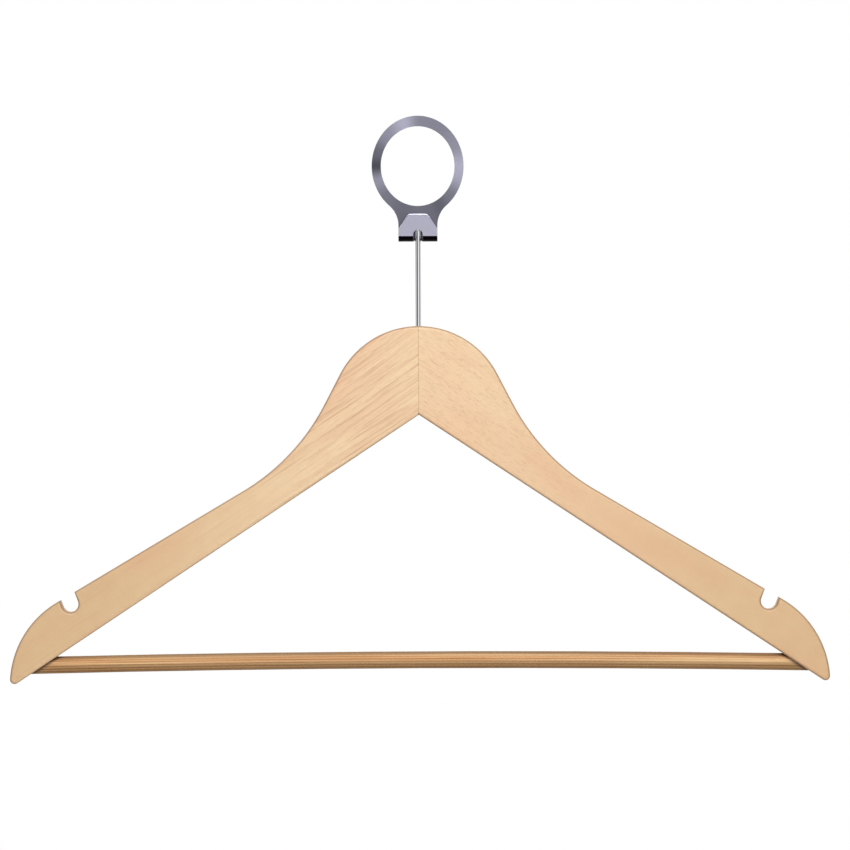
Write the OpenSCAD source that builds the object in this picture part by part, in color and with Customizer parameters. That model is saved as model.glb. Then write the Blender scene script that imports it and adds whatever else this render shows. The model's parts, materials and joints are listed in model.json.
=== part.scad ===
// Guest-room hanger: a closed steel rail ring, a ball-headed pin that hangs in the ring's folded
// foot and turns in the wood, a two-arm wooden body and a fluted trouser bar.
// Frame: origin at the centre of the rail opening, mid-thickness of the ring plate.
// +X runs along the shoulders, -Y is the front, +Z is up. Millimetres and degrees.

/* [Rail ring] */
// Width of the rail opening
rail_opening_w = 40.1; // [36:0.1:44]
// Height of the rail opening
rail_opening_h = 43.4; // [40:0.1:48]
// Width of the flat band to the left and right of the opening
band_side = 4.95; // [4:0.05:7]
// Height of the flat band above the opening
band_top = 5.7; // [4:0.05:8]
// Thickness of the steel plate
plate_t = 1.2; // [1:0.1:1.6]
// Width of the ring's foot
foot_w = 21.2; // [18:0.2:23]
// Drop from the centre of the opening to the bottom of the fold
foot_drop = 41.2; // [40:0.2:46]
// Angle on the oval, below the side, at which the foot's fillets start
foot_fillet_at = 51.5; // [48:0.5:56]

/* [Folded pocket] */
// Inside radius of the fold
fold_r = 2.6; // [2.4:0.1:3]
// Outward lean of the flap from upright
flap_lean = 12; // [8:1:16]
// Length of the flap's flat
flap_len = 12; // [10:0.5:13]
// Height of the flap's straight sides
flap_side = 3.5; // [3:0.1:6]
// Half width of the flap's top edge
flap_top_half = 5.2; // [3.5:0.1:6]
// Width of the slot for the pin
slot_w = 5.2; // [4.2:0.1:5.4]
// Height of the slot's arch above the bottom of the fold
slot_h = 6.3; // [5:0.1:7]

/* [Ball pin] */
// Diameter of the pin's shank
pin_d = 3; // [2.6:0.1:3.4]
// Diameter of the ball at its top
ball_d = 6; // [5.6:0.1:6.4]
// Gap between the ball and the pocket's walls
ball_gap = 0.1; // [0.05:0.05:0.2]
// Length of bare pin between the fold and the wood
pin_show = 46; // [40:1:60]
// Diameter of the upset end that keeps the pin in its ferrule
pin_upset_d = 4.5; // [4:0.1:4.6]
// Thickness of the upset end
pin_upset_t = 1.2; // [0.8:0.1:2]

/* [Pin ferrule] */
// Outside diameter of the ferrule
ferrule_d = 5; // [4.8:0.1:6]
// Length of the ferrule
ferrule_len = 14; // [10:1:16]
// Depth of the ferrule's mouth below the wood
ferrule_sunk = 0.3; // [0.1:0.1:1]
// Running gap between the pin and the ferrule, on the radius
pin_gap = 0.05; // [0.02:0.01:0.1]

/* [Wooden arms] */
// Overall width from tip to tip
span = 445; // [430:5:460]
// Thickness of the wood
wood_t = 12; // [10:0.5:14]
// Radius of the rounded head
head_r = 48; // [44:1:52]
// Steepest slope of the shoulder
shoulder_slope = 62.5; // [58:0.5:66]
// Length of the shoulder's straight between head and hollow
shoulder_run = 18.6; // [14:0.2:24]
// Radius of the hollow between shoulder and arm
hollow_r = 117; // [105:1:125]
// Slope of the arm's upper edge
arm_slope = 30.6; // [29:0.2:32]
// Radius of the arm's rounded end
end_r = 52; // [46:1:56]
// Radius of the tip
tip_r = 2.5; // [2:0.1:4]
// Depth of the head on the centre line
head_depth = 48.1; // [44:0.1:52]
// Slope of the arm's lower edge
inner_slope = 33.5; // [33:0.1:34]

/* [Strap notch] */
// Distance of the notch from the centre line
notch_x = 189.5; // [180:0.5:195]
// Radius of the notch
notch_r = 4.45; // [3.5:0.05:5]
// Depth of the notch's centre below the arm's upper edge
notch_sink = 5.2; // [4:0.1:6]
// Lean of the notch's mouth away from the centre line
notch_lean = 21; // [10:1:30]

/* [Trouser bar] */
// Diameter of the bar
bar_d = 9.2; // [8:0.2:10]
// Height of the bar's ends above the arm tips
bar_rise = 10; // [10:0.2:14]
// Upward bow of the bar at its middle
bar_bow = 2; // [1:0.1:3]
// Number of flutes around the bar
flutes = 18; // [14:1:22]
// Depth of a flute
flute_depth = 0.35; // [0.2:0.05:0.45]
// Diameter of the tenons and of the joint dowels
dowel_d = 5; // [4:0.5:6]
// Distance of a tenon's end from the centre line
tenon_end = 213; // [212:0.5:214]

/* [Centre joint] */
// Length of each dowel across the joint
dowel_len = 24; // [20:1:28]
// Depths of the two dowels below the top of the head
dowel_depths = [25, 38];
// Gap left at the end of a blind hole
blind_gap = 0.5; // [0.2:0.1:1]

/* [Hidden] */
$fn = 96;

// How far a cutter or a blank runs past the surface that it cuts or fills
past = 1;

steel = [0.62, 0.62, 0.68];
chrome = [0.8, 0.8, 0.82];
beech = [0.93, 0.78, 0.61];
oiled_beech = [0.78, 0.6, 0.4];

// Ring outline
hole_a = rail_opening_w / 2;
hole_b = rail_opening_h / 2;
outer_a = hole_a + band_side;
outer_b = hole_b + band_top;
foot_half = foot_w / 2;
oval_steps = 96;
fold_steps = 28;
fillet_steps = 12;

// Fold and pocket, in the plane across the pin
fold_out = fold_r + plate_t;
fold_y = -plate_t / 2 - fold_r;
fold_z = -foot_drop + fold_out;
slot_r = slot_w / 2;
arch_z = -foot_drop + slot_h - slot_r;
slot_back = -plate_t / 2 - slot_r - 0.1;

// The ball sits where it clears the plate and the leaning flap by the same gap
ball_r = ball_d / 2;
pin_r = pin_d / 2;
pin_y = -plate_t / 2 - ball_r - ball_gap;
ball_z = fold_z + (ball_r + ball_gap - fold_r) / tan(flap_lean / 2);

// Heights in the wood
head_top = -foot_drop - pin_show;
ferrule_top = head_top - ferrule_sunk;
ferrule_foot = ferrule_top - ferrule_len;
upset_top = ferrule_foot - 0.1;
pin_foot = upset_top - pin_upset_t;
pin_hole_foot = pin_foot - blind_gap;
apex_z = head_top - head_depth;

// Upper edge of an arm, as arcs and straights that meet without a corner
head_c = [0, head_top - head_r];
shoulder_top = head_c + head_r * [sin(shoulder_slope), cos(shoulder_slope)];
shoulder_foot = shoulder_top + shoulder_run * [cos(shoulder_slope), -sin(shoulder_slope)];
hollow_c = shoulder_foot + hollow_r * [sin(shoulder_slope), cos(shoulder_slope)];
arm_start = hollow_c - hollow_r * [sin(arm_slope), cos(arm_slope)];
arm_run = (span / 2 - end_r * (1 - sin(arm_slope)) - arm_start[0]) / cos(arm_slope);
arm_end = arm_start + arm_run * [cos(arm_slope), -sin(arm_slope)];
end_c = arm_end - end_r * [sin(arm_slope), cos(arm_slope)];

// The tip's circle touches the end arc from inside and the lower edge from above
inner_dir = [cos(inner_slope), -sin(inner_slope)];
inner_up = [sin(inner_slope), cos(inner_slope)];
tip_line = [0, apex_z] + tip_r * inner_up;
tip_b = (tip_line - end_c) * inner_dir;
tip_q = (tip_line - end_c) * (tip_line - end_c) - pow(end_r - tip_r, 2);
tip_c = tip_line + (-tip_b + sqrt(tip_b * tip_b - tip_q)) * inner_dir;
tip_from = atan2(tip_c[1] - end_c[1], tip_c[0] - end_c[0]);

notch_c = [notch_x, arm_start[1] - (notch_x - arm_start[0]) * tan(arm_slope) - notch_sink];

// Bar
bar_r = bar_d / 2;
tip_z = tip_c[1] - tip_r;
bar_end_z = tip_z + bar_rise;
bar_end_x = (apex_z - bar_end_z) / tan(inner_slope);
bow_r = (bar_end_x * bar_end_x + bar_bow * bar_bow) / (2 * bar_bow);
bar_mid_z = bar_end_z + bar_bow;
bow_half_angle = asin((bar_end_x + bar_d) / bow_r);
dowel_r = dowel_d / 2;
tenon_start = bar_end_x - 3 * dowel_d;

// Points on a circle from angle a to angle b
function arc(c, r, a, b, n) = [for (i = [0 : n]) c + r * [cos(a + (b - a) * i / n), sin(a + (b - a) * i / n)]];
// Points on an oval from angle a to angle b
function oval(rx, ry, a, b, n) = [for (i = [0 : n]) [rx * cos(a + (b - a) * i / n), ry * sin(a + (b - a) * i / n)]];
function mirrored(points) = [for (i = [len(points) - 1 : -1 : 0]) [-points[i][0], points[i][1]]];

// The fillet between oval and foot touches the oval at foot_fillet_at and the foot's straight side
function fillet_at() =
    let (
        p = [outer_a * cos(foot_fillet_at), -outer_b * sin(foot_fillet_at)],
        n0 = [outer_b * cos(foot_fillet_at), -outer_a * sin(foot_fillet_at)],
        n = n0 / norm(n0),
        r = (p[0] - foot_half) / (1 - n[0])
    )
    [p + r * n, r, atan2(-n[1], -n[0])];

// Turns an X-Y outline up into the X-Z plane, thickness centred on y
module upright(t, y = 0) {
    translate([0, y, 0])
        rotate([90, 0, 0])
            linear_extrude(t, center = true)
                children();
}

// The plate seen from the front, its foot running down past the fold
module ring_outline() {
    fillet = fillet_at();
    right_fillet = arc(fillet[0], fillet[1], 180, fillet[2], fillet_steps);
    top = oval(outer_a, outer_b, -foot_fillet_at, 180 + foot_fillet_at, oval_steps);
    side = concat([[foot_half, -foot_drop - plate_t]], right_fillet);
    difference() {
        polygon(concat(side, top, mirrored(side)));
        polygon(oval(hole_a, hole_b, 0, 360 - 360 / oval_steps, oval_steps - 1));
    }
}

// The plate seen from the side: straight down, round the fold and up the leaning flap
module bent_profile() {
    fold_c = [fold_y, fold_z];
    flap_rise = flap_len * [-sin(flap_lean), cos(flap_lean)];
    outside = arc(fold_c, fold_out, 0, flap_lean - 180, fold_steps);
    inside = arc(fold_c, fold_r, flap_lean - 180, 0, fold_steps);
    polygon(concat(
        [[plate_t / 2, outer_b + past]], outside,
        [outside[fold_steps] + flap_rise, inside[0] + flap_rise],
        inside, [[-plate_t / 2, outer_b + past]]
    ));
}

module bent_plate() {
    width = 2 * (outer_a + past);
    translate([-width / 2, 0, 0])
        rotate([90, 0, 90])
            linear_extrude(width)
                bent_profile();
}

// What is cut off the flap's two top corners, square to the flap
module flap_corners() {
    translate([0, fold_y, fold_z])
        rotate([flap_lean, 0, 0])
            for (side = [-1, 1])
                upright(2 * plate_t, -fold_r - plate_t / 2)
                    polygon([
                        [side * flap_top_half, flap_len], [side * flap_top_half, flap_len + past],
                        [side * outer_a, flap_len + past],
                        [side * outer_a, flap_side], [side * foot_half, flap_side]
                    ]);
}

// The slot is cut from the front and from below, each time through the whole fold
module pin_slot() {
    reach = 3 * fold_out;
    upright(reach, slot_back - reach / 2) {
        translate([0, arch_z])
            circle(slot_r);
        translate([-slot_r, arch_z - reach])
            square([slot_w, reach]);
    }
    translate([0, slot_back, arch_z - reach])
        cylinder(h = reach, r = slot_r);
}

module rail_ring() {
    color(steel)
        difference() {
            intersection() {
                bent_plate();
                upright(4 * fold_out, fold_y)
                    ring_outline();
            }
            flap_corners();
            pin_slot();
        }
}

module ball_pin() {
    color(chrome)
        translate([0, pin_y, 0]) {
            translate([0, 0, ball_z])
                sphere(ball_r);
            translate([0, 0, pin_foot])
                cylinder(h = ball_z - pin_foot, r = pin_r);
            translate([0, 0, pin_foot])
                cylinder(h = pin_upset_t, d = pin_upset_d);
        }
}

module pin_ferrule() {
    color(steel)
        translate([0, pin_y, ferrule_foot])
            difference() {
                cylinder(h = ferrule_len, d = ferrule_d);
                translate([0, 0, -past])
                    cylinder(h = ferrule_len + 2 * past, r = pin_r + pin_gap);
            }
}

module arm_outline() {
    upper = concat(
        arc(head_c, head_r, 90, 90 - shoulder_slope, 24),
        arc(hollow_c, hollow_r, 270 - shoulder_slope, 270 - arm_slope, 20),
        arc(end_c, end_r, 90 - arm_slope, tip_from, 24)
    );
    tip = arc(tip_c, tip_r, tip_from, -90 - inner_slope, 14);
    difference() {
        polygon(concat([[0, apex_z]], upper, tip));
        translate(notch_c)
            rotate(-notch_lean) {
                circle(notch_r);
                translate([-notch_r, 0])
                    square([2 * notch_r, 3 * notch_r]);
            }
    }
}

module cross_hole(from_x, to_x, z) {
    translate([from_x, pin_y, z])
        rotate([0, 90, 0])
            cylinder(h = to_x - from_x, r = dowel_r);
}

// The right arm; the left one is its mirror image
module arm() {
    color(beech)
        difference() {
            upright(wood_t, pin_y)
                arm_outline();
            translate([0, pin_y, pin_hole_foot])
                cylinder(h = head_top - pin_hole_foot + past, d = ferrule_d);
            for (depth = dowel_depths)
                cross_hole(-past, dowel_len / 2 + blind_gap, head_top - depth);
            cross_hole(tenon_start, tenon_end + blind_gap, bar_end_z);
        }
}

module right_arm() {
    arm();
}

module left_arm() {
    mirror([1, 0, 0])
        arm();
}

module joint_dowels() {
    color(oiled_beech)
        for (depth = dowel_depths)
            cross_hole(-dowel_len / 2, dowel_len / 2, head_top - depth);
}

// One flute and the land beside it, as [place in the pitch from 0 to 1, share of the full depth]
function flute_shape() = [[0, 1], [0.12, 0.75], [0.28, 0], [0.5, 0], [0.72, 0], [0.88, 0.75]];

module flute_section() {
    pitch = 360 / flutes;
    polygon([
        for (i = [0 : flutes - 1], p = flute_shape())
            (bar_r - flute_depth * p[1]) * [cos((i + p[0]) * pitch), sin((i + p[0]) * pitch)]
    ]);
}

module bowed_rod() {
    translate([0, pin_y, bar_mid_z - bow_r])
        rotate([90, 0, 0])
            rotate([0, 0, 90 - bow_half_angle])
                rotate_extrude(angle = 2 * bow_half_angle, $fn = 7200)
                    translate([bow_r, 0])
                        flute_section();
}

module below_arms() {
    reach = span / 2 + bar_d;
    upright(2 * wood_t, pin_y)
        polygon([[0, apex_z], [reach, apex_z - reach * tan(inner_slope)], [-reach, apex_z - reach * tan(inner_slope)]]);
}

module trouser_bar() {
    color(oiled_beech) {
        intersection() {
            bowed_rod();
            below_arms();
        }
        for (side = [-1, 1])
            scale([side, 1, 1])
                cross_hole(tenon_start, tenon_end, bar_end_z);
    }
}

rail_ring();
ball_pin();
pin_ferrule();
left_arm();
right_arm();
joint_dowels();
trouser_bar();
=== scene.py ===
import json
import math

import bmesh
import bpy
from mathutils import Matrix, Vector

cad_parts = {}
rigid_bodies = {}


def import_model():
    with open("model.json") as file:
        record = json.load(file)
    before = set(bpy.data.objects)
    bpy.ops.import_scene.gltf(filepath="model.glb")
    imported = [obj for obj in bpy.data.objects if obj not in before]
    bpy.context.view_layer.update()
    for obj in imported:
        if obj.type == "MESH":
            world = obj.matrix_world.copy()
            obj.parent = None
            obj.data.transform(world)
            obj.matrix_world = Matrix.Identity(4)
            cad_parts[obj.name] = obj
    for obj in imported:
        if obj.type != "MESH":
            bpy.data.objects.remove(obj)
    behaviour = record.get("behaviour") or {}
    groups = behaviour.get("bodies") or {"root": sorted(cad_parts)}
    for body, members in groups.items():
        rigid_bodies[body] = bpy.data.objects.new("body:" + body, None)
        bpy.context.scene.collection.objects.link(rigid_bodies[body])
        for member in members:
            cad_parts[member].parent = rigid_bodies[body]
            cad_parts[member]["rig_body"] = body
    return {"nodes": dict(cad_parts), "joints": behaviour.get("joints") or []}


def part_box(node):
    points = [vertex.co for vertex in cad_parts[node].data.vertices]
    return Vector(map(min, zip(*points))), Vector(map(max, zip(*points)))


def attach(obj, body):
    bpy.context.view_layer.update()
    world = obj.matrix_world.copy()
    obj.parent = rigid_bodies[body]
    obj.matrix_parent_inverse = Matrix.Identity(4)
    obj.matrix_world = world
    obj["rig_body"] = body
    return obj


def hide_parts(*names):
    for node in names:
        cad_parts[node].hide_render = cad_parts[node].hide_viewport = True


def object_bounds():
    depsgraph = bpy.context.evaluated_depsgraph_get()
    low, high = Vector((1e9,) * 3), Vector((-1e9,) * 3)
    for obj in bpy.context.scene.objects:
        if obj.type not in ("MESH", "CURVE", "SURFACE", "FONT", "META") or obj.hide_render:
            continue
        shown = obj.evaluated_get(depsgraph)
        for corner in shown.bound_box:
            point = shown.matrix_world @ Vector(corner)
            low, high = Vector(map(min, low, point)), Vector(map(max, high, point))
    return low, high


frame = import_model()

# A guest-room hanger on a closed rail ring. Metres; -Y is the front, +Z is up. The frame gives
# every place, and each piece that replaces a CAD node starts from that node's own mesh or box.

MM = 0.001
cad_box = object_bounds()
nodes = frame["nodes"]
joints = {joint["name"]: joint for joint in frame["joints"]}
ball_centre = Vector(joints["swing"]["pos_m"])
arm_low, arm_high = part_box("right_arm")
pin_low, pin_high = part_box("ball_pin")
ring_low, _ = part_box("rail_ring")
_, bar_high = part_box("trouser_bar")

# Wooden arms: the angle of their grain and of their straight inner edges, and where those edges meet
GRAIN_SLOPE = math.radians(34)
INNER_SLOPE = math.radians(33.5)
APEX_Z = -135.3 * MM
EDGE_ROUND = 1.7 * MM
OUTLINE_TURN = 0.8

# Bar: a fluted round, bowed upwards in the middle
BAR_R = 4.6 * MM
BAR_BOW = 2 * MM
BAR_HALF_LENGTH = 203 * MM
FLUTE_DEPTH = 0.35 * MM

# Ring plate: where the fold, the slot and the flap lie, and how far its edges are rounded
fold_top = ring_low.z + 2.9 * MM
flap_middle = ring_low.z + 7.4 * MM
flap_shoulder = ring_low.z + 13 * MM
SLOT_HALF = 2.6 * MM
FLAP_Y = -4.3 * MM
UPPER_FLAP_Y = -5.8 * MM
SHARP_TURN = math.radians(50)
RING_EDGE_ROUND = 0.2 * MM
FLAP_RIM_ROUND = 0.32 * MM
FLAP_CORNER_ROUND = 1.1 * MM


# ---------------------------------------------------------------- mesh helpers

def welded(node, angle=0.2):
    """A bmesh of a CAD node's surface: doubled points joined, faces within that many degrees made one."""
    bm = bmesh.new()
    bm.from_mesh(nodes[node].data)
    bmesh.ops.remove_doubles(bm, verts=bm.verts, dist=0.002 * MM)
    bmesh.ops.dissolve_limit(
        bm, angle_limit=math.radians(angle), verts=bm.verts, edges=bm.edges, use_dissolve_boundaries=False
    )
    return bm


def finish_piece(name, bm, node, material, sharp=35.0, flat_faces=True):
    """Turns a bmesh into a piece that stands for a CAD node: smooth but for turns over sharp degrees."""
    limit = math.radians(sharp)
    for face in bm.faces:
        face.smooth = True
    for edge in bm.edges:
        edge.smooth = len(edge.link_faces) == 2 and edge.calc_face_angle(math.pi) < limit
    mesh = bpy.data.meshes.new(name)
    bm.to_mesh(mesh)
    bm.free()
    piece = bpy.data.objects.new(name, mesh)
    bpy.context.scene.collection.objects.link(piece)
    mesh.materials.append(material)
    if flat_faces:
        weighted = piece.modifiers.new("flat_faces_stay_flat", "WEIGHTED_NORMAL")
        weighted.weight = 90
        weighted.keep_sharp = True
    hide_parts(node)
    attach(piece, nodes[node]["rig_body"])
    return piece


def round_over(bm, edges, width, segments, clamp=True):
    """Rounds those edges. Clamping keeps neighbouring rounds from running into each other."""
    bmesh.ops.bevel(
        bm, geom=edges, offset=width, offset_type="OFFSET", segments=segments,
        profile=0.5, affect="EDGES", clamp_overlap=clamp, miter_outer="SHARP", miter_inner="SHARP",
    )


def lathe(profile, centre, steps):
    """A closed solid turned about the vertical line through centre, from (radius, height) points."""
    bm = bmesh.new()
    rings = []
    for radius, height in profile:
        if radius == 0:
            rings.append([bm.verts.new((centre.x, centre.y, height))])
            continue
        turn = [2 * math.pi * i / steps for i in range(steps)]
        rings.append([
            bm.verts.new((centre.x + radius * math.cos(a), centre.y + radius * math.sin(a), height))
            for a in turn
        ])
    for lower, upper in zip(rings, rings[1:]):
        for i in range(steps):
            j = (i + 1) % steps
            below = [lower[i % len(lower)], lower[j % len(lower)]]
            above = [upper[j % len(upper)], upper[i % len(upper)]]
            bm.faces.new(list(dict.fromkeys(below + above)))
    bmesh.ops.recalc_face_normals(bm, faces=bm.faces)
    return bm


def arc_points(centre, radius, start, end, steps):
    """(radius, height) points of a lathe profile along an arc, angles in degrees from the level."""
    angles = [math.radians(start + (end - start) * i / steps) for i in range(steps + 1)]
    return [(centre[0] + radius * math.cos(a), centre[1] + radius * math.sin(a)) for a in angles]


# ---------------------------------------------------------------- material helpers

class Shader:
    """A material's node tree, with short calls for the nodes that it uses."""

    def __init__(self, name):
        self.material = bpy.data.materials.new(name)
        self.material.use_nodes = True
        self.tree = self.material.node_tree
        self.surface = self.tree.nodes["Principled BSDF"]

    def add(self, kind, **settings):
        made = self.tree.nodes.new(kind)
        for key, value in settings.items():
            setattr(made, key, value)
        return made

    def put(self, value, socket):
        if isinstance(value, bpy.types.NodeSocket):
            self.tree.links.new(value, socket)
        else:
            socket.default_value = value

    def place(self):
        return self.add("ShaderNodeTexCoord").outputs["Object"]

    def mapped(self, vector, scale=(1, 1, 1), turn=(0, 0, 0), shift=(0, 0, 0)):
        made = self.add("ShaderNodeMapping")
        self.put(vector, made.inputs["Vector"])
        made.inputs["Scale"].default_value = scale
        made.inputs["Rotation"].default_value = turn
        made.inputs["Location"].default_value = shift
        return made.outputs["Vector"]

    def noise(self, vector, detail=2.0, rough=0.5):
        made = self.add("ShaderNodeTexNoise")
        self.put(vector, made.inputs["Vector"])
        made.inputs["Scale"].default_value = 1.0
        made.inputs["Detail"].default_value = detail
        made.inputs["Roughness"].default_value = rough
        return made.outputs["Fac"]

    def ramp(self, factor, *stops, mode="LINEAR"):
        """stops are (position, grey)."""
        made = self.add("ShaderNodeValToRGB")
        made.color_ramp.interpolation = mode
        set_stops(made.color_ramp, stops)
        self.put(factor, made.inputs["Fac"])
        return made.outputs["Color"]

    def math(self, operation, *values):
        made = self.add("ShaderNodeMath", operation=operation)
        for socket, value in zip(made.inputs, values):
            self.put(value, socket)
        return made.outputs[0]

    def between(self, value, start, end):
        """0 at start, 1 at end, smooth between and level beyond. start may be the greater."""
        made = self.add("ShaderNodeMapRange", interpolation_type="SMOOTHSTEP")
        self.put(value, made.inputs["Value"])
        made.inputs["From Min"].default_value = start
        made.inputs["From Max"].default_value = end
        return made.outputs["Result"]

    def mix(self, factor, a, b, blend="MIX"):
        made = self.add("ShaderNodeMix", data_type="RGBA", blend_type=blend)
        colours = [socket for socket in made.inputs if socket.type == "RGBA"]
        self.put(factor, made.inputs["Factor"])
        for socket, value in zip(colours, (a, b)):
            self.put(value if isinstance(value, bpy.types.NodeSocket) else (*value, 1), socket)
        return [socket for socket in made.outputs if socket.type == "RGBA"][0]

    def split(self, vector):
        made = self.add("ShaderNodeSeparateXYZ")
        self.put(vector, made.inputs[0])
        return made.outputs

    def bump(self, height, strength, distance):
        made = self.add("ShaderNodeBump")
        made.inputs["Strength"].default_value = strength
        made.inputs["Distance"].default_value = distance
        self.put(height, made.inputs["Height"])
        self.put(made.outputs["Normal"], self.surface.inputs["Normal"])

    def set(self, **sockets):
        for name, value in sockets.items():
            self.put(value, self.surface.inputs[name.replace("_", " ")])


def set_stops(ramp, stops):
    """Gives a colour ramp its (position, grey) stops, lowest first."""
    while len(ramp.elements) < len(stops):
        ramp.elements.new(0.5)
    for element, (position, grey) in zip(ramp.elements, stops):
        element.position = position
        element.color = (grey, grey, grey, 1)


def srgb(r, g, b):
    """A colour from 0-255 screen values, as the linear values that Blender uses."""
    shares = [value / 255 for value in (r, g, b)]
    return tuple(c / 12.92 if c <= 0.04045 else ((c + 0.055) / 1.055) ** 2.4 for c in shares)


# ---------------------------------------------------------------- wood

def beech(name, slope, streaks, flecks, seed):
    """Clear-varnished beech with its grain at that slope. streaks and flecks say how strongly each shows."""
    wood = Shader(name)
    place = wood.place()
    along = wood.mapped(place, turn=(0, slope, 0), shift=(seed, seed * 0.7, seed * 0.3))

    # Soft bands and fine lines, both drawn out along the grain, which wanders slowly
    wander = wood.noise(wood.mapped(along, scale=(6, 22, 22)), detail=1.5)
    waved = wood.add("ShaderNodeVectorMath", operation="MULTIPLY_ADD")
    wood.put(wander, waved.inputs[0])
    waved.inputs[1].default_value = (0, 0, 7 * MM)
    wood.put(along, waved.inputs[2])
    grain = waved.outputs[0]
    rings = wood.noise(wood.mapped(grain, scale=(4, 90, 260)), detail=2, rough=0.55)
    hairs = wood.noise(wood.mapped(grain, scale=(26, 560, 980)), detail=3, rough=0.65)

    # Short dark rays and pores, and slow changes from yellow to pink
    rays = wood.noise(wood.mapped(grain, scale=(300, 900, 1900)), detail=1.5, rough=0.5)
    pores = wood.noise(wood.mapped(grain, scale=(140, 2600, 2600)), detail=1.5)
    blush = wood.noise(wood.mapped(grain, scale=(13, 34, 34)), detail=2, rough=0.5)
    cloud = wood.noise(wood.mapped(place, scale=(90, 90, 90)), detail=2, rough=0.6)

    # The figure is clear in the head and fades along the arms
    x, _, _ = wood.split(place)
    from_seam = wood.math("ABSOLUTE", x)
    faded = wood.math("MULTIPLY", wood.between(from_seam, 25 * MM, 120 * MM), 0.85)
    fade = wood.math("SUBTRACT", 1.0, faded)

    def figure(factor, low, high, strength):
        return wood.math("MULTIPLY", wood.ramp(factor, (low, 0.0), (high, strength)), fade)

    yellow, pink, cream = srgb(248, 218, 176), srgb(246, 205, 165), srgb(240, 203, 162)
    colour = wood.mix(wood.ramp(blush, (0.4, 0.0), (0.64, 1.0)), yellow, pink)
    colour = wood.mix(wood.ramp(cloud, (0.35, 0.0), (0.75, 0.4)), colour, cream)
    colour = wood.mix(figure(rings, 0.42, 0.68, streaks * 0.6), colour, srgb(229, 184, 147))
    colour = wood.mix(figure(hairs, 0.5, 0.74, streaks), colour, srgb(204, 150, 114))
    colour = wood.mix(figure(rays, 0.54, 0.76, flecks), colour, srgb(206, 156, 116))
    colour = wood.mix(figure(pores, 0.6, 0.8, flecks), colour, srgb(178, 126, 88))

    # The arms run a little darker and warmer to their ends, partly painted shade where the light falls off,
    # and a thin glue line shows at the seam
    shaded_ends = wood.mix(1.0, colour, srgb(237, 228, 217), blend="MULTIPLY")
    colour = wood.mix(wood.between(from_seam, 20 * MM, 190 * MM), colour, shaded_ends)
    at_seam = wood.between(from_seam, 0.35 * MM, 0.05 * MM)
    glue_and_joint_shade = wood.math("MULTIPLY", at_seam, wood.ramp(hairs, (0.35, 0.2), (0.65, 0.8)))
    colour = wood.mix(glue_and_joint_shade, colour, srgb(186, 138, 98))

    # Painted shade: sawn sides and rounded edges are darker where they turn away from the light, most of all
    # where the round meets the side
    _, facing, _ = wood.split(wood.add("ShaderNodeTexCoord").outputs["Normal"])
    facing = wood.math("ABSOLUTE", facing)
    side = wood.between(facing, 0.975, 0.6)
    corner = wood.math("MULTIPLY", side, wood.between(facing, 0.02, 0.3))
    side_shaded = wood.mix(1.0, colour, srgb(228, 214, 200), blend="MULTIPLY")
    colour = wood.mix(side, colour, side_shaded)
    colour = wood.mix(wood.math("MULTIPLY", corner, 0.6), colour, srgb(158, 126, 94))

    wood.bump(wood.math("ADD", wood.math("MULTIPLY", hairs, 0.5), pores), 0.2, 0.1 * MM)
    rough = wood.add("ShaderNodeMapRange")
    wood.put(rings, rough.inputs["Value"])
    rough.inputs["To Min"].default_value = 0.42
    rough.inputs["To Max"].default_value = 0.56
    wood.set(Base_Color=colour, Roughness=rough.outputs["Result"])
    wood.set(IOR=1.48, Coat_Weight=0.25, Coat_Roughness=0.22)
    return wood.material


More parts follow.
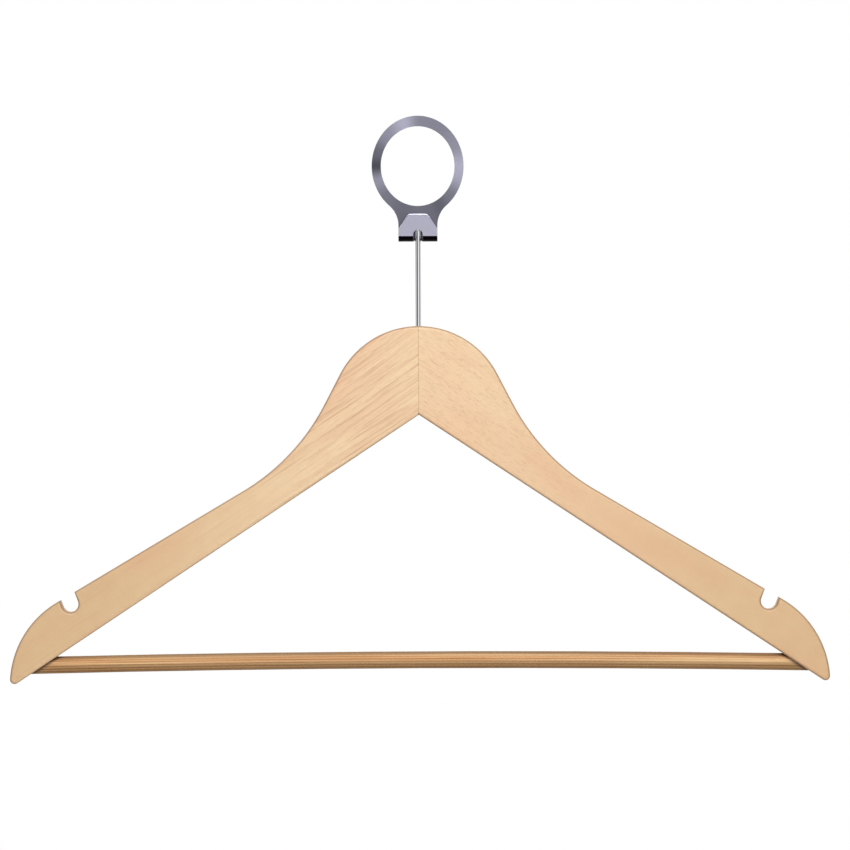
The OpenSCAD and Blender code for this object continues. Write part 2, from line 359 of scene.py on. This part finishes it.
def bar_wood():
    """The bar's darker, straight-grained wood, with painted shade in its flutes, below, along its top and
    bottom edges and where its glued ends meet the arms.
    """
    wood = Shader("bar_wood")
    place = wood.place()
    bands = wood.noise(wood.mapped(place, scale=(4, 210, 330)), detail=3, rough=0.6)
    lines = wood.noise(wood.mapped(place, scale=(7, 700, 900)), detail=3, rough=0.65)
    pores = wood.noise(wood.mapped(place, scale=(35, 1500, 1500)), detail=1.5)
    colour = wood.mix(wood.ramp(bands, (0.38, 0.0), (0.62, 1.0)), srgb(255, 214, 160), srgb(230, 172, 114))
    colour = wood.mix(wood.ramp(lines, (0.47, 0.0), (0.66, 0.55)), colour, srgb(160, 104, 60))
    colour = wood.mix(wood.ramp(pores, (0.6, 0.0), (0.76, 0.3)), colour, srgb(120, 80, 46))

    # The bar's centre line is an arc: low at the ends, high in the middle
    x, y, z = wood.split(place)
    sink = wood.math("MULTIPLY", wood.math("MULTIPLY", x, x), BAR_BOW / (BAR_HALF_LENGTH * BAR_HALF_LENGTH))
    up = wood.math("SUBTRACT", wood.math("ADD", z, sink), bar_high.z - BAR_R)
    out = wood.math("SUBTRACT", y, ball_centre.y)
    squares = wood.math("ADD", wood.math("MULTIPLY", up, up), wood.math("MULTIPLY", out, out))
    radius = wood.math("SQRT", squares)
    # Painted shade: darker below the middle and darker still along the top and bottom edges, which leaves a
    # painted highlight band just above the middle
    painted_under_shade = wood.between(up, BAR_R * 0.2, BAR_R * -0.35)
    colour = wood.mix(wood.math("MULTIPLY", painted_under_shade, 0.75), colour, srgb(152, 110, 60))
    from_middle = wood.math("ABSOLUTE", wood.math("ADD", up, BAR_R * 0.1))
    painted_rim = wood.between(from_middle, BAR_R * 0.62, BAR_R * 0.98)
    colour = wood.mix(wood.math("MULTIPLY", painted_rim, 0.8), colour, srgb(124, 88, 52))
    # Painted shade in the flutes, stronger in some grain bands
    painted_flute_shade = wood.between(radius, BAR_R - 0.05 * MM, BAR_R - FLUTE_DEPTH)
    painted_flute_shade = wood.math("MULTIPLY", painted_flute_shade, wood.ramp(bands, (0.35, 0.1), (0.65, 0.6)))
    colour = wood.mix(painted_flute_shade, colour, srgb(118, 76, 40))

    # Painted shade where the bar's ends meet the arms' inner edges, over the glue line there
    edge_z = wood.math("MULTIPLY_ADD", wood.math("ABSOLUTE", x), -math.tan(INNER_SLOPE), APEX_Z)
    gap = wood.math("SUBTRACT", edge_z, z)
    glue_and_joint_shade = wood.math("MULTIPLY", wood.between(gap, 2.6 * MM, 0.2 * MM), 0.8)
    colour = wood.mix(glue_and_joint_shade, colour, srgb(50, 30, 16))

    wood.bump(wood.math("ADD", lines, pores), 0.15, 0.1 * MM)
    wood.set(Base_Color=colour, Roughness=0.55, IOR=1.45)
    return wood.material


def dowel_wood():
    """Pale, dry birch with fine lines along the dowels, which lie across the seam."""
    wood = Shader("dowel_wood")
    lines = wood.noise(wood.mapped(wood.place(), scale=(30, 900, 900)), detail=3, rough=0.6)
    colour = wood.mix(wood.ramp(lines, (0.35, 0.0), (0.7, 0.8)), srgb(233, 210, 172), srgb(196, 160, 116))
    wood.bump(lines, 0.2, 0.1 * MM)
    wood.set(Base_Color=colour, Roughness=0.7)
    return wood.material


# ---------------------------------------------------------------- metal

# How bright the painted sheen makes the brushed ring round the rail opening: 0 and 1 left, 0.25 bottom, 0.5
# right, 0.75 top
PAINTED_RING_SHEEN = [
    (0.0, 0.056), (0.055, 0.245), (0.12, 0.16), (0.2, 0.128), (0.25, 0.142), (0.29, 0.13), (0.33, 0.102),
    (0.38, 0.155), (0.47, 0.333), (0.5, 0.345), (0.58, 0.215), (0.67, 0.174), (0.74, 0.18), (0.8, 0.325),
    (0.87, 0.215), (0.95, 0.109), (1.0, 0.056),
]
STEEL_TINT = (0.98, 0.97, 1.22)
# The flap's steel painted paler as a painted highlight, and a painted highlight on its rounded rim
PAINTED_FLAP_SHEEN = (0.65, 0.64, 0.79)
PAINTED_FLAP_RIM_HIGHLIGHT = (0.85, 0.85, 0.92)


def ring_steel():
    """Circular-brushed steel: a painted sheen that changes round the rail opening, a flap painted paler with
    a painted highlight on its rim, and painted shade in the fold.
    """
    steel = Shader("ring_steel")
    place = steel.place()
    x, y, z = steel.split(place)
    turn = steel.math("ARCTAN2", z, x)
    part_turn = steel.math("ADD", steel.math("DIVIDE", turn, 2 * math.pi), 0.5)
    # Painted sheen: brighter and darker sectors round the rail opening
    painted_sheen = steel.ramp(part_turn, *PAINTED_RING_SHEEN, mode="EASE")
    radius = steel.math("SQRT", steel.math("ADD", steel.math("MULTIPLY", x, x), steel.math("MULTIPLY", z, z)))
    circles = steel.add("ShaderNodeCombineXYZ")
    steel.put(steel.math("MULTIPLY", turn, 3), circles.inputs["X"])
    steel.put(steel.math("MULTIPLY", radius, 4200), circles.inputs["Y"])
    brushed = steel.noise(circles.outputs[0], detail=3, rough=0.7)
    plate = steel.mix(1.0, painted_sheen, STEEL_TINT, blend="MULTIPLY")
    plate = steel.mix(steel.ramp(brushed, (0.3, 0.0), (0.7, 0.18)), plate, (0.1, 0.1, 0.12))

    # Painted highlight: the flap is painted paler than the plate, and its rounded rim paler still
    flap = steel.mix(steel.ramp(brushed, (0.3, 0.0), (0.7, 0.12)), PAINTED_FLAP_SHEEN, (0.3, 0.3, 0.36))
    on_flap = steel.between(y, FLAP_Y + 0.3 * MM, FLAP_Y - 0.3 * MM)
    _, facing, _ = steel.split(steel.add("ShaderNodeTexCoord").outputs["Normal"])
    painted_rim = steel.between(steel.math("ABSOLUTE", facing), 0.98, 0.85)
    flap = steel.mix(painted_rim, flap, PAINTED_FLAP_RIM_HIGHLIGHT)
    colour = steel.mix(on_flap, plate, flap)
    # Painted shade: the fold below the flap is painted nearly black, but not across the slot
    in_fold = steel.between(z, fold_top + 0.12 * MM, fold_top - 0.12 * MM)
    in_slot = steel.between(steel.math("ABSOLUTE", x), SLOT_HALF + 0.1 * MM, SLOT_HALF - 0.1 * MM)
    painted_fold_shade = steel.math("MULTIPLY", in_fold, steel.math("SUBTRACT", 1.0, in_slot))
    colour = steel.mix(painted_fold_shade, colour, (0.003, 0.002, 0.003))
    steel.bump(brushed, 0.06, 0.02 * MM)
    steel.set(Base_Color=colour, Metallic=1.0, Roughness=0.36)
    return steel.material


def polished(name, tint, rough, streak):
    """Drawn and polished metal with faint marks along the length."""
    metal = Shader(name)
    marks = metal.noise(metal.mapped(metal.place(), scale=(500, 500, 40)), detail=2, rough=0.6)
    colour = metal.mix(metal.ramp(marks, (0.35, 0.0), (0.75, streak)), tint, tuple(c * 0.6 for c in tint))
    rough_range = metal.add("ShaderNodeMapRange")
    metal.put(marks, rough_range.inputs["Value"])
    rough_range.inputs["To Min"].default_value = rough
    rough_range.inputs["To Max"].default_value = rough + 0.08
    metal.set(Base_Color=colour, Metallic=1.0, Roughness=rough_range.outputs["Result"])
    return metal.material


# ---------------------------------------------------------------- pieces

def build_arm(side, material):
    """A wooden arm with both faces' outlines rounded over; the seam and the holes stay crisp."""
    node = side + "_arm"
    bm = welded(node)
    on_seam = 0.01 * MM
    outline = []
    for edge in bm.edges:
        a, b = (v.co for v in edge.verts)
        for face_y in (arm_low.y, arm_high.y):
            on_face = abs(a.y - face_y) < on_seam and abs(b.y - face_y) < on_seam
            off_seam = max(abs(a.x), abs(b.x)) > on_seam
            if on_face and off_seam and edge.calc_face_angle(0) > OUTLINE_TURN:
                outline.append(edge)
    round_over(bm, outline, EDGE_ROUND, 5)
    return finish_piece(node + "_wood", bm, node, material)


def is_flap_corner(edge):
    """Whether an edge runs through the flap's thickness at one of its two top corners."""
    middle = (edge.verts[0].co + edge.verts[1].co) / 2
    across = abs(edge.verts[0].co.y - edge.verts[1].co.y) > 0.8 * MM
    return middle.z > flap_shoulder and across and middle.y < UPPER_FLAP_Y


def is_flap_rim(edge):
    """Whether an edge is a sharp one of the flap's outline, well above the fold."""
    high = all(v.co.y < UPPER_FLAP_Y and v.co.z > flap_middle for v in edge.verts)
    return high and edge.calc_face_angle(0) > SHARP_TURN


def build_ring(material):
    """The stamped ring: round flap corners, slightly rounded edges, and a wider round on the flap's rim."""
    bm = welded("rail_ring", 0.05)
    round_over(bm, [e for e in bm.edges if is_flap_corner(e)], FLAP_CORNER_ROUND, 4)
    sharp = [e for e in bm.edges if len(e.link_faces) == 2 and e.calc_face_angle(0) > SHARP_TURN]
    round_over(bm, [e for e in sharp if not is_flap_rim(e)], RING_EDGE_ROUND, 2)
    round_over(bm, [e for e in bm.edges if is_flap_rim(e)], FLAP_RIM_ROUND, 3, clamp=False)
    return finish_piece("rail_ring_plate", bm, "rail_ring", material)


def build_pin(material):
    """Ball, short neck fillet, shank and upset end, turned as one."""
    ball_r = pin_high.z - ball_centre.z
    shank_r = ball_r / 2
    neck_angle = math.degrees(math.asin(shank_r / ball_r)) + 6
    ball = arc_points((0, ball_centre.z), ball_r, 90, neck_angle - 90, 28)
    ball[0] = (0, pin_high.z)
    neck_z = ball[-1][1]
    upset_r = 2.25 * MM
    upset_t = 1.2 * MM
    lip = 0.25 * MM
    foot = pin_low.z
    profile = ball + [
        (shank_r + 0.1 * MM, neck_z - lip), (shank_r, neck_z - 0.6 * MM),
        (shank_r, foot + upset_t), (upset_r - lip, foot + upset_t), (upset_r, foot + upset_t - lip),
        (upset_r, foot + lip), (upset_r - lip, foot), (0, foot),
    ]
    centre = Vector((ball_centre.x, ball_centre.y, 0))
    return finish_piece("ball_pin_turned", lathe(profile[::-1], centre, 64), "ball_pin", material)


def build_ferrule(material):
    """The bush in the head, with small chamfers at both mouths."""
    low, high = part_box("pin_ferrule")
    outer = (high.x - low.x) / 2
    bore = 1.55 * MM
    lip = 0.2 * MM
    profile = [
        (bore, low.z), (outer - lip, low.z), (outer, low.z + lip), (outer, high.z - lip),
        (outer - lip, high.z),
        (bore + lip, high.z), (bore, high.z - lip), (bore, low.z),
    ]
    centre = Vector((0, (low.y + high.y) / 2, 0))
    bm = lathe(profile, centre, 48)
    bmesh.ops.remove_doubles(bm, verts=bm.verts, dist=0.001 * MM)
    return finish_piece("pin_ferrule_turned", bm, "pin_ferrule", material)


def build_bar(material):
    """The CAD bar's own fluted shape, shaded smooth along its length."""
    bm = welded("trouser_bar", 0.01)
    return finish_piece("trouser_bar_fluted", bm, "trouser_bar", material, sharp=60, flat_faces=False)


# ---------------------------------------------------------------- stage, light and camera

ROOM_LIGHT = 0.36
# Brightness of what polished metal reflects, by heading: back, left, front, right, back
PANELS = [
    (0.0, 0.85), (0.1, 0.8), (0.17, 0.38), (0.24, 0.55), (0.35, 0.6), (0.38, 0.08), (0.475, 0.08),
    (0.5, 1.15), (0.58, 1.15), (0.61, 0.24), (0.69, 0.24), (0.72, 0.74), (0.89, 0.74), (1.0, 0.85),
]
CEILING = 1.1
FLOOR_DROP = 0.45
FLOOR_RADIUS = 2.2

# The camera: how far off it stands, how wide a strip it frames there, and where it aims
CAMERA_DISTANCE = 2.6
FRAME_WIDTH = 0.4607
AIM_X = 3.35 * MM
AIM_BELOW_MIDDLE = 14.4 * MM
CAMERA_ROLL = math.radians(0.27)


def pale_floor():
    """A plain pale disc well below the hanger, out of the front view."""
    bm = bmesh.new()
    bmesh.ops.create_circle(bm, cap_ends=True, radius=FLOOR_RADIUS, segments=96)
    mesh = bpy.data.meshes.new("floor")
    bm.to_mesh(mesh)
    bm.free()
    floor = bpy.data.objects.new("floor", mesh)
    bpy.context.scene.collection.objects.link(floor)
    floor.location.z = cad_box[0].z - FLOOR_DROP
    paint = Shader("floor_paint")
    paint.set(Base_Color=(0.93, 0.93, 0.93, 1), Roughness=0.8)
    mesh.materials.append(paint.material)


def area_light(name, place, target, size, watts):
    """A soft white lamp at place that faces target."""
    lamp = bpy.data.lights.new(name, "AREA")
    lamp.shape = "RECTANGLE"
    lamp.size, lamp.size_y = size
    lamp.energy = watts
    light = bpy.data.objects.new(name, lamp)
    bpy.context.scene.collection.objects.link(light)
    light.location = place
    light.rotation_euler = (Vector(target) - Vector(place)).to_track_quat("-Z", "Y").to_euler()
    return light


def studio_world():
    """White to the camera, an even grey room for soft light, panels and a ceiling for reflections."""
    world = bpy.data.worlds.new("studio")
    bpy.context.scene.world = world
    world.use_nodes = True
    tree = world.node_tree
    tree.nodes.clear()

    def add(kind, **settings):
        made = tree.nodes.new(kind)
        for key, value in settings.items():
            setattr(made, key, value)
        return made

    def background(strength, colour=None):
        made = add("ShaderNodeBackground")
        made.inputs["Color"].default_value = (1, 1, 1, 1)
        made.inputs["Strength"].default_value = strength
        if colour:
            tree.links.new(colour, made.inputs["Color"])
        return made.outputs[0]

    # Heading of a ray round the object: 0 and 1 are straight back, 0.5 is straight to the front
    parts = add("ShaderNodeSeparateXYZ")
    tree.links.new(add("ShaderNodeTexCoord").outputs["Generated"], parts.inputs[0])
    front = add("ShaderNodeMath", operation="MULTIPLY")
    tree.links.new(parts.outputs["Y"], front.inputs[0])
    front.inputs[1].default_value = -1
    heading = add("ShaderNodeMath", operation="ARCTAN2")
    tree.links.new(parts.outputs["X"], heading.inputs[0])
    tree.links.new(front.outputs[0], heading.inputs[1])
    part_turn = add("ShaderNodeMath", operation="MULTIPLY_ADD")
    tree.links.new(heading.outputs[0], part_turn.inputs[0])
    part_turn.inputs[1].default_value = 1 / (2 * math.pi)
    part_turn.inputs[2].default_value = 0.5
    panels = add("ShaderNodeValToRGB")
    tree.links.new(part_turn.outputs[0], panels.inputs["Fac"])
    set_stops(panels.color_ramp, PANELS)

    overhead = add("ShaderNodeMapRange", interpolation_type="SMOOTHSTEP")
    tree.links.new(parts.outputs["Z"], overhead.inputs["Value"])
    overhead.inputs["From Min"].default_value = 0.4
    overhead.inputs["From Max"].default_value = 0.75
    mirrored = add("ShaderNodeMixShader")
    tree.links.new(overhead.outputs["Result"], mirrored.inputs["Fac"])
    tree.links.new(background(1.0, panels.outputs["Color"]), mirrored.inputs[1])
    tree.links.new(background(CEILING), mirrored.inputs[2])

    path = add("ShaderNodeLightPath")
    lit = add("ShaderNodeMixShader")
    tree.links.new(path.outputs["Is Glossy Ray"], lit.inputs["Fac"])
    tree.links.new(background(ROOM_LIGHT), lit.inputs[1])
    tree.links.new(mirrored.outputs[0], lit.inputs[2])
    seen = add("ShaderNodeMixShader")
    tree.links.new(path.outputs["Is Camera Ray"], seen.inputs["Fac"])
    tree.links.new(lit.outputs[0], seen.inputs[1])
    tree.links.new(background(1.0), seen.inputs[2])
    tree.links.new(seen.outputs[0], add("ShaderNodeOutputWorld").inputs["Surface"])


def front_camera():
    """Square on and level, far off, so that the arms show almost no depth."""
    low, high = cad_box
    aim = Vector((AIM_X, low.y, (low.z + high.z) / 2 - AIM_BELOW_MIDDLE))
    data = bpy.data.cameras.new("camera")
    data.sensor_width = 36
    data.lens = data.sensor_width * CAMERA_DISTANCE / FRAME_WIDTH
    camera = bpy.data.objects.new("camera", data)
    bpy.context.scene.collection.objects.link(camera)
    camera.location = aim + Vector((0, -CAMERA_DISTANCE, 0))
    camera.rotation_euler = (math.radians(90), CAMERA_ROLL, 0)
    bpy.context.scene.camera = camera


# ---------------------------------------------------------------- the hanger and its studio

left_wood = beech("left_arm_beech", GRAIN_SLOPE, streaks=0.8, flecks=0.25, seed=1.3)
right_wood = beech("right_arm_beech", -GRAIN_SLOPE, streaks=0.2, flecks=0.5, seed=4.1)
build_arm("left", left_wood)
build_arm("right", right_wood)
build_ring(ring_steel())
build_pin(polished("pin_chrome", (0.84, 0.84, 0.86), 0.06, 0.15))
build_ferrule(polished("ferrule_steel", (0.6, 0.6, 0.62), 0.22, 0.4))
build_bar(bar_wood())
nodes["joint_dowels"].material_slots[0].material = dowel_wood()

pale_floor()
studio_world()
head = Vector((0, arm_low.y, -120 * MM))
area_light("key", (0.08, -1.05, 0.62), head, (1.0, 0.6), 11.5)
back_light = area_light("back", (-0.1, 1.3, 0.6), head, (1.0, 0.8), 9)
back_light.visible_glossy = False
front_camera()
bpy.context.scene.view_settings.view_transform = "Standard"
